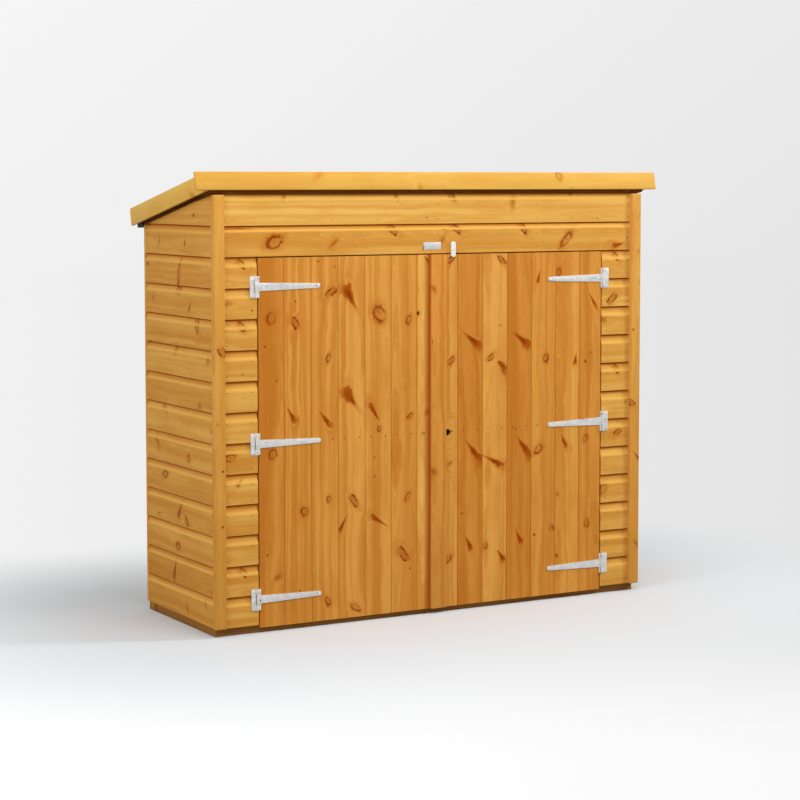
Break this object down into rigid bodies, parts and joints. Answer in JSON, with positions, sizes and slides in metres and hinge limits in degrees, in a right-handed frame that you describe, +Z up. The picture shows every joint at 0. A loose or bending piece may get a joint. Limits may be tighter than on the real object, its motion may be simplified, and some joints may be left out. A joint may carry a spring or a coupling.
{
  "type": "pent bike shed with double doors",
  "caption": "Narrow pent-roofed timber store for bicycles, clad in shiplap boards, with a pair of strap-hinged doors across the front, a felted roof and a raised timber floor.",
  "frame": {"origin": "on the ground, at the middle of the floor's footprint", "axes": "+Z up, +X to the right along the front as seen from outside, -Y out through the doors"},
  "size_m": [1.968, 0.7038, 1.6508],
  "materials": {
    "framing": "sawn and planed softwood, not stained",
    "stained_boards": "planed pine with a honey stain, satin",
    "pale_boards": "planed pine with a pale honey stain, satin",
    "door_boards": "planed pine with an orange honey stain, satin",
    "felt": "mineral-faced roofing felt, matte",
    "wrapped_rail": "softwood rail wrapped in roofing felt",
    "galvanised": "zinc-plated pressed steel",
    "bare_metal": "plain satin plate, left blank",
    "white_plastic": "moulded, white"
  },
  "bodies": {
    "shed": {"floor_joists": "framing", "floor_front_bearer": "framing", "floor_rear_bearer": "framing", "floor_boards": "framing", "left_wall_boards": "stained_boards", "right_wall_boards": "stained_boards", "rear_wall_boards": "stained_boards", "front_wall_left": "stained_boards", "front_wall_right": "stained_boards", "front_wall_header": "stained_boards", "front_posts": "framing", "front_rails": "framing", "side_posts": "framing", "side_rails": "framing", "rear_posts": "framing", "rear_rails": "framing", "left_corner_trim": "stained_boards", "right_corner_trim": "stained_boards", "roof_front_rail": "framing", "roof_rear_rail": "wrapped_rail", "roof_rafters": "framing", "roof_boards": "framing", "roof_felt": "felt", "front_fascia": "pale_boards", "left_barge_board": "pale_boards", "right_barge_board": "pale_boards", "left_hinge_plates": "galvanised", "right_hinge_plates": "galvanised", "name_plate": "bare_metal", "turn_button_screw": "galvanised"},
    "left_door": {"left_door_boards": "door_boards", "left_door_ledges": "door_boards", "left_door_braces": "door_boards", "left_door_straps": "galvanised"},
    "right_door": {"right_door_boards": "door_boards", "right_door_ledges": "door_boards", "right_door_braces": "door_boards", "right_door_straps": "galvanised", "cover_strip": "door_boards"},
    "turn_button": {"turn_button": "white_plastic"}
  },
  "joints": [
    {"name": "left_door_hinge", "type": "hinge", "parent": "shed", "child": "left_door", "pos_m": [-0.7485, -0.3185, 0.683], "axis": [0, 0, -1], "range_deg": [0, 165]},
    {"name": "right_door_hinge", "type": "hinge", "parent": "shed", "child": "right_door", "pos_m": [0.7485, -0.3185, 0.683], "axis": [0, 0, 1], "range_deg": [0, 165]},
    {"name": "turn_button_pivot", "type": "hinge", "parent": "shed", "child": "turn_button", "pos_m": [0.065, -0.318, 1.3645], "axis": [0, 1, 0], "range_deg": [0, 90]}
  ]
}
